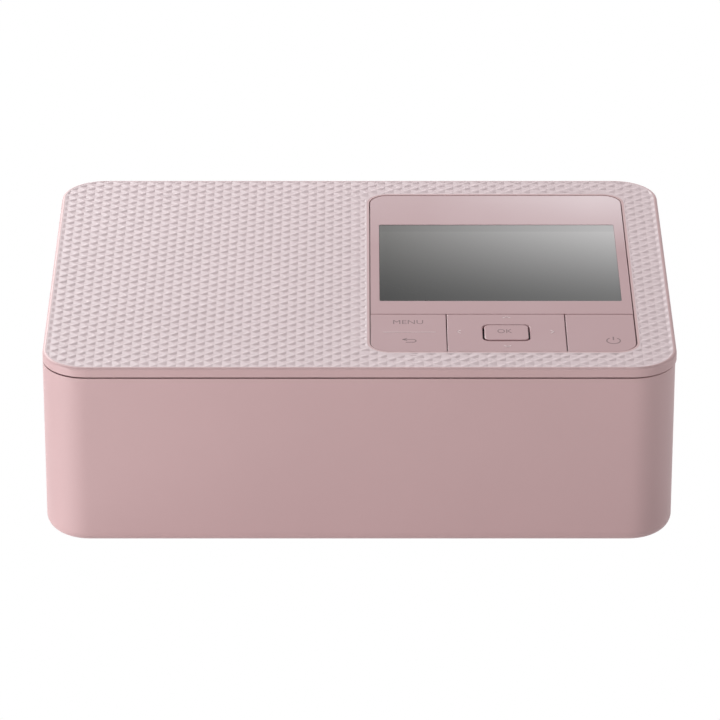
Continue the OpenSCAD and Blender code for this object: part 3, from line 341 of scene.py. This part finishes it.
# ---------- embossed field on the top cover ----------

DIMPLE_X, DIMPLE_Y = 2.62, 2.115        # half diagonals of a diamond
CELLS = 70                              # diamonds along each side of the net, before it is trimmed
RIDGE = 0.22                            # half the width of the ridge between two dimples
WALL, WALL_DROP = 0.85, 0.24            # sloping wall of a whole dimple
DIMPLE_DEPTH = 0.3                      # of the cut dimples along the rims
EMBOSS_IN = 1.0                         # smooth rim inside the edge of the cover
EMBOSS_RIM = 0.7                        # smooth rim round the panel
FIELD_FLOOR = 57.05                     # underside of the field, inside the cover


def outline_planes(width, depth, radius, x, y, steps=12):
    """Points and outward normals of the straight cuts round a rounded outline."""
    planes = []
    for sx, sy in ((1, 1), (-1, 1), (-1, -1), (1, -1)):
        centre = Vector((x + sx * (width / 2 - radius), y + sy * (depth / 2 - radius), 0)) * MM
        for step in range(steps + 1):
            turn = (pi / 2) * step / steps
            normal = Vector((sx * cos(turn), sy * sin(turn), 0))
            # A cut in the corner runs midway between the tangent and the chord of its arc
            reach = radius if step in (0, steps) else radius * cos(pi / 4 / steps) ** 0.5
            planes.append((centre + normal * reach * MM, normal))
    return planes


def trim_to_cover(bm):
    for at, out in outline_planes(CASE_W - 2 * EMBOSS_IN, CASE_D - 2 * EMBOSS_IN,
                                  CORNER_R - EMBOSS_IN, 0, 0):
        bmesh.ops.bisect_plane(bm, geom=bm.verts[:] + bm.edges[:] + bm.faces[:], dist=1e-7,
                               plane_co=at, plane_no=out, clear_outer=True)


def cut_out_panel(bm):
    """Cuts the faces near the panel along its rounded rim and deletes those inside."""
    edge = PANEL_GAP + EMBOSS_RIM
    rim = outline_planes(PANEL_W + 2 * edge, PANEL_D + 2 * edge, PANEL_R + edge,
                         PANEL_X, PANEL_Y, steps=8)
    planes = [(Vector((at.x, at.y, CASE_H * MM)), out) for at, out in rim]

    def within(p, grow=0.0):
        return all((p - at).dot(out) < grow for at, out in planes)

    inside = [f for f in bm.faces if within(f.calc_center_median(), 1e-4)
              or any(within(v.co) for v in f.verts)
              or any(within((e.verts[0].co + e.verts[1].co) / 2) for e in f.edges)]
    for at, out in rim:
        edges = once(e for f in inside for e in f.edges)
        verts = once(v for f in inside for v in f.verts)
        cut = bmesh.ops.bisect_plane(bm, geom=inside + edges + verts, dist=1e-7,
                                     plane_co=at, plane_no=out)
        faces = once([g for g in cut["geom"] if isinstance(g, bmesh.types.BMFace)]
                     + [f for f in inside if f.is_valid])
        inside = [f for f in faces if (f.calc_center_median() - at).dot(out) < 0]
    bmesh.ops.delete(bm, geom=inside, context="FACES")


def reach_of(f):
    """Radius of the circle inside a face, in metres."""
    return 2 * f.calc_area() / f.calc_perimeter()


def press_dimples(bm):
    """Ridges round every cell. A whole cell gets a dimple with a small flat floor, a cut cell a
    pointed one that is shallower the smaller it is."""
    dimples = [f for f in bm.faces if reach_of(f) > 2.2 * RIDGE * MM]
    bmesh.ops.inset_individual(bm, faces=dimples, thickness=RIDGE * MM, depth=0,
                               use_even_offset=True)
    full_reach = DIMPLE_X * DIMPLE_Y / (DIMPLE_X ** 2 + DIMPLE_Y ** 2) ** 0.5 * MM
    depth = {}
    for f in dimples:
        c = f.calc_center_median()
        share = min(1.0, reach_of(f) / (full_reach * 0.72))
        depth[(round(c.x, 6), round(c.y, 6))] = DIMPLE_DEPTH * share
    whole, cut = [], []
    for f in dimples:
        (whole if reach_of(f) > (WALL + 0.25) * MM and len(f.verts) == 4 else cut).append(f)
    bmesh.ops.inset_individual(bm, faces=whole, thickness=WALL * MM, depth=-WALL_DROP * MM,
                               use_even_offset=True)
    poked = bmesh.ops.poke(bm, faces=cut, offset=0.0, center_mode="MEAN")
    for v in poked["verts"]:
        v.co.z -= depth.get((round(v.co.x, 6), round(v.co.y, 6)), DIMPLE_DEPTH * 0.6) * MM


def close_below(bm, z):
    """Walls down from the open edges, and a flat underside."""
    rim = [e for e in bm.edges if e.is_boundary]
    down = bmesh.ops.extrude_edge_only(bm, edges=rim)["geom"]
    for g in down:
        if isinstance(g, bmesh.types.BMVert):
            g.co.z = z * MM
    bottom = [g for g in down if isinstance(g, bmesh.types.BMEdge)
              and all(abs(v.co.z - z * MM) < 1e-7 for v in g.verts)]
    bmesh.ops.triangle_fill(bm, use_beauty=True, use_dissolve=False, edges=bottom,
                            normal=(0, 0, -1))
    bmesh.ops.recalc_face_normals(bm, faces=bm.faces)


field = bmesh.new()
bmesh.ops.create_grid(field, x_segments=CELLS, y_segments=CELLS, size=CELLS / 2 ** 0.5)
bmesh.ops.rotate(field, matrix=Matrix.Rotation(pi / 4, 3, "Z"), verts=field.verts)
bmesh.ops.scale(field, vec=(DIMPLE_X * MM, DIMPLE_Y * MM, 1), verts=field.verts)
shifted(field, field.verts, 0, 0, CASE_H)
trim_to_cover(field)
cut_out_panel(field)
press_dimples(field)
close_below(field, FIELD_FLOOR)
piece("dimple_field", field, finish["embossed"], "root")


# ---------- softened edges ----------

for node, body, width in (
        ("front_door", "front_door", 0.25), ("main_housing", "root", 0.2),
        ("ink_door", "ink_door", 0.25), ("control_panel", "root", 0.22),
        ("menu_key", "menu_key", 0.2), ("ok_key", "ok_key", 0.22), ("power_key", "power_key", 0.2)):
    softened(node, body, width)
softened("nav_pad", "nav_pad", 0.2, from_angle=50, recess=(34.5, 50.5, -48.8, -35.8, PANEL_Z, 0.55))


# ---------- trough, ribbon and display window ----------

# Trough in front of the board under the keys: it closes the notch in the wall behind the front door
TROUGH_LOW, TROUGH_HIGH, TROUGH_T = (-1.2, -56.0, 49.68), (84.1, -49.7, 53.9), 0.4
trough = bmesh.new()
bmesh.ops.create_cube(trough, size=1)
for v in trough.verts:
    v.co = [((a + b) / 2 + c * (b - a)) * MM for a, b, c in zip(TROUGH_LOW, TROUGH_HIGH, v.co)]
trough.normal_update()
open_sides = [f for f in trough.faces if f.normal.z > 0.9 or f.normal.y > 0.9]
bmesh.ops.delete(trough, geom=open_sides, context="FACES_ONLY")
bmesh.ops.solidify(trough, geom=trough.faces[:], thickness=TROUGH_T * MM)
bmesh.ops.recalc_face_normals(trough, faces=trough.faces)
piece("board_trough", trough, finish["shell"], "root", smooth=40)

# Free stretch of the ribbon: it stays on both spools.
# Its points are (y, z): at the take-up spool, under the edge of the head, under the head's bead
# and at the supply spool.
RIBBON_X, RIBBON_T = (-52.5, 51.5), 0.06
TAKEUP_END, UNDER_EDGE = (18.25, 25.5), (22.95, 26.38)
UNDER_BEAD, SUPPLY_END = (25.755, 25.047), (37.74, 22.34)


def ribbon(name, course):
    """A thin film over the points of course."""
    bm = bmesh.new()
    length = course[-1][0] - course[0][0]
    bmesh.ops.create_grid(bm, x_segments=2, y_segments=32, size=0.5)
    bmesh.ops.scale(bm, vec=((RIBBON_X[1] - RIBBON_X[0]) * MM, length * MM, 1), verts=bm.verts)
    shifted(bm, bm.verts, sum(RIBBON_X) / 2, course[0][0] + length / 2, 0)
    for v in bm.verts:
        y = v.co.y / MM
        for (y0, z0), (y1, z1) in zip(course, course[1:]):
            if y0 - 1e-4 <= y <= y1 + 1e-4:
                v.co.z = (z0 + (z1 - z0) * (y - y0) / (y1 - y0)) * MM
    thickened(bm, RIBBON_T)
    made = piece(name, bm, finish["film"], None, smooth=40)
    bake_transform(made)
    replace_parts(made, "ink_ribbon")


ribbon("ribbon_to_takeup", [TAKEUP_END, UNDER_EDGE, UNDER_BEAD])
ribbon("ribbon_to_supply", [UNDER_BEAD, SUPPLY_END])

# Display window: a pane with rounded corners, set a little below the panel
PANE_W, PANE_D, PANE_R = 70.9, 54.2, 0.45
PANE_X, PANE_Y, PANE_LOW = 41.35, 6.15, 56.2
PANE_BELOW_PANEL = 0.12
pane = bmesh.new()
corners = bmesh.ops.create_grid(pane, x_segments=1, y_segments=1, size=0.5)["verts"]
bmesh.ops.scale(pane, vec=(PANE_W * MM, PANE_D * MM, 1), verts=corners)
shifted(pane, corners, PANE_X, PANE_Y, PANE_LOW)
bmesh.ops.bevel(pane, geom=corners, offset=PANE_R * MM, affect="VERTICES", segments=4, profile=0.5,
                material=-1, offset_type="OFFSET")
thickened(pane, PANEL_Z - PANE_BELOW_PANEL - PANE_LOW)
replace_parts(piece("window_pane", pane, finish["window"], "root"), "display_window")


# ---------- legends ----------

PRINT = 0.012                           # thickness of the printed signs
RAISED = 0.05                           # height of the moulded signs
SUNK = 0.02                             # how far a sign reaches into its key
LETTER_T = 0.02                         # thickness of the letters, half of it above the key


def legend(name, words, height, x, y, z, body, stretch):
    """Flat printed letters, made a mesh, and laid on a key."""
    curve = bpy.data.curves.new(name, "FONT")
    curve.body = words
    curve.size = 1.0
    curve.align_x = "CENTER"
    curve.align_y = "CENTER"
    curve.extrude = LETTER_T / 2
    curve.resolution_u = 4
    source = bpy.data.objects.new(name + "_curve", curve)
    scene.collection.objects.link(source)
    bpy.context.view_layer.update()
    bm = bmesh.new()
    flat = bpy.data.meshes.new_from_object(source)
    bm.from_mesh(flat)
    bpy.data.objects.remove(source)
    bmesh.ops.remove_doubles(bm, verts=bm.verts, dist=1e-5)
    low = Vector((min(v.co.x for v in bm.verts), min(v.co.y for v in bm.verts), 0))
    high = Vector((max(v.co.x for v in bm.verts), max(v.co.y for v in bm.verts), 0))
    size = height * MM / (high.y - low.y)
    bmesh.ops.translate(bm, vec=-(low + high) / 2, verts=bm.verts)
    bmesh.ops.scale(bm, vec=(size * stretch, size, MM), verts=bm.verts)
    shifted(bm, bm.verts, x, y, z)
    piece(name, bm, ink, body)


def bar(bm, start, end, width, rise):
    """A straight stroke from start to end, rise mm high on the keys."""
    a, b = Vector((*start, 0)), Vector((*end, 0))
    along = b - a
    turn = along.to_2d().angle_signed(Vector((1, 0)))
    made = bmesh.ops.create_cube(bm, size=1.0)["verts"]
    size = Vector((along.length + width * 0.6, width, rise + SUNK)) * MM
    bmesh.ops.scale(bm, vec=size, verts=made)
    bmesh.ops.rotate(bm, matrix=Matrix.Rotation(turn, 3, "Z"), verts=made)
    middle = (a + b) / 2
    shifted(bm, made, middle.x, middle.y, PANEL_Z + (rise - SUNK) / 2)


def arc(bm, radius, width, first, last, rise, steps=24):
    """A curved stroke round the origin, from the angle first to last in degrees."""
    verts = bmesh.ops.create_grid(bm, x_segments=1, y_segments=1, size=0.5)["verts"]
    bmesh.ops.scale(bm, vec=(width * MM, (rise + SUNK) * MM, 1), verts=verts)
    bmesh.ops.rotate(bm, matrix=Matrix.Rotation(pi / 2, 3, "X"), verts=verts)
    shifted(bm, verts, radius, 0, PANEL_Z + (rise - SUNK) / 2)
    bmesh.ops.rotate(bm, matrix=Matrix.Rotation(radians(first), 3, "Z"), verts=verts)
    faces = once(f for v in verts for f in v.link_faces)
    edges = once(e for f in faces for e in f.edges)
    bmesh.ops.spin(bm, geom=faces + edges + verts, cent=(0, 0, 0), axis=(0, 0, 1),
                   angle=radians(last - first), steps=steps, use_merge=False)


def printed_sign(name, bm, x, y, body):
    bmesh.ops.recalc_face_normals(bm, faces=bm.faces)
    shifted(bm, bm.verts, x, y, 0)
    piece(name, bm, ink, body)


def moulded_sign(name, strokes, body, width):
    """Raised strokes moulded in the key, in a lighter tone that paints the highlight on their
    ridges.
    """
    bm = bmesh.new()
    for start, end in strokes:
        bar(bm, start, end, width, RAISED)
    piece(name, bm, painted_highlight, body)


legend("menu_legend", "MENU", 2.6, 14.1, -35.4, PANEL_Z, "menu_key", 0.88)
legend("ok_legend", "OK", 2.6, 42.0, -41.7, OK_TOP, "ok_key", 0.81)

moulded_sign("menu_divider", [((6.9, -42.3), (22.0, -42.3))], "menu_key", 0.26)
ARROW_TIP, ARROW_TAIL, ARROW_HALF = 0.7, 0.2, 1.0       # ahead of, behind and beside its middle
for name, x, y, dx, dy in (("arrow_up", 42.7, -32.5, 0, 1), ("arrow_down", 42.6, -51.3, 0, -1),
                           ("arrow_left", 29.0, -42.0, -1, 0), ("arrow_right", 55.5, -42.0, 1, 0)):
    tip = (x + dx * ARROW_TIP, y + dy * ARROW_TIP)
    tail = (x - dx * ARROW_TAIL, y - dy * ARROW_TAIL)
    strokes = [((tail[0] + side * dy, tail[1] + side * dx), tip)
               for side in (ARROW_HALF, -ARROW_HALF)]
    moulded_sign(name, strokes, "nav_pad", 0.34)

sign = bmesh.new()                      # power: an open ring and a stroke
arc(sign, 1.95, 0.4, 125, 415, PRINT)
bar(sign, (0, 0.5), (0, 2.5), 0.4, PRINT)
printed_sign("power_sign", sign, 73.2, -47.9, "power_key")

sign = bmesh.new()                      # back: an arrow that turns round to the left
arc(sign, 0.95, 0.36, -90, 90, PRINT, steps=12)
for start, end in (((-1.9, -0.95), (0, -0.95)), ((-2.6, 0.95), (0, 0.95)),
                   ((-2.8, 0.95), (-1.7, 1.7)), ((-2.8, 0.95), (-1.7, 0.2))):
    bar(sign, start, end, 0.36, PRINT)
printed_sign("back_sign", sign, 15.3, -48.0, "menu_key")


# ---------- studio ----------

AIM = Vector((0, 0, 0.03))              # the lamps point at the middle of the case


def area(name, at, width, power, height=None):
    """A rectangular lamp that points at the case."""
    data = bpy.data.lights.new(name, "AREA")
    data.shape = "RECTANGLE"
    data.size = width
    data.size_y = height or width
    data.energy = power
    lamp = bpy.data.objects.new(name, data)
    lamp.location = at
    lamp.rotation_euler = (AIM - Vector(at)).to_track_quat("-Z", "Y").to_euler()
    scene.collection.objects.link(lamp)


def where_seen(tree, kinds, other, seen):
    """A shader that is seen for these kinds of ray and other for the rest."""
    path = add(tree, "LightPath")
    factor = path.outputs[kinds[0]]
    for kind in kinds[1:]:
        factor = calculate(tree, "MAXIMUM", factor, path.outputs[kind])
    return add(tree, "MixShader", {0: factor, 1: other.outputs[0], 2: seen.outputs[0]}).outputs[0]


area("left_low", (-1.05, -0.68, 0.06), 0.5, 10.5, height=0.1)
area("back_left", (-0.7, 1.15, 0.9), 0.8, 25.0)
area("top_front", (0.0, -0.45, 1.15), 0.35, 1.8)
area("back_soft", (0.1, 1.3, 0.9), 1.0, 0.9)
area("front_soft", (0.0, -1.7, 0.8), 1.0, 2.2)
area("right_soft", (1.3, -0.3, 0.5), 0.8, 4.2)

# World: a weak even light, white where it shows
world = bpy.data.worlds.new("studio")
scene.world = world
world.use_nodes = True
tree = world.node_tree
tree.nodes.clear()
soft = add(tree, "Background", {"Color": (1, 1, 1, 1), "Strength": 0.12})
white = add(tree, "Background", {"Color": (1, 1, 1, 1), "Strength": 1.0})
shown = where_seen(tree, ("Is Camera Ray", "Is Glossy Ray", "Is Transmission Ray"), soft, white)
tree.links.new(shown, add(tree, "OutputWorld").inputs["Surface"])

# Floor: white to the camera and in reflections
floor_paint = bpy.data.materials.new("white_floor")
tree, shader = tree_of(floor_paint)
shader.inputs["Base Color"].default_value = (0.9, 0.9, 0.9, 1)
shader.inputs["Roughness"].default_value = 0.9
glow = add(tree, "Emission", {"Color": (1, 1, 1, 1), "Strength": 1.0})
out = next(n for n in tree.nodes if n.type == "OUTPUT_MATERIAL")
shown = where_seen(tree, ("Is Camera Ray", "Is Glossy Ray"), shader, glow)
tree.links.new(shown, out.inputs["Surface"])

floor_mesh = bpy.data.meshes.new("floor")
bm = bmesh.new()
bmesh.ops.create_grid(bm, x_segments=2, y_segments=2, size=3.0)
bm.to_mesh(floor_mesh)
bm.free()
floor_mesh.materials.append(floor_paint)
floor = bpy.data.objects.new("floor", floor_mesh)
scene.collection.objects.link(floor)

# Camera: a long lens, fitted to the outline of the case in the photo with the CAD's size given
camera_data = bpy.data.cameras.new("camera")
camera_data.lens = 249.8
camera_data.sensor_width = 36.0
camera_data.shift_x = 0.00056
camera_data.shift_y = -0.00313
camera_data.clip_start = 0.05
camera_data.clip_end = 20.0
camera = bpy.data.objects.new("camera", camera_data)
camera.location = (0.0, -1.3458, 0.6807)
camera.rotation_euler = (radians(64.156), 0, 0)
scene.collection.objects.link(camera)
scene.camera = camera
scene.view_settings.view_transform = "Standard"
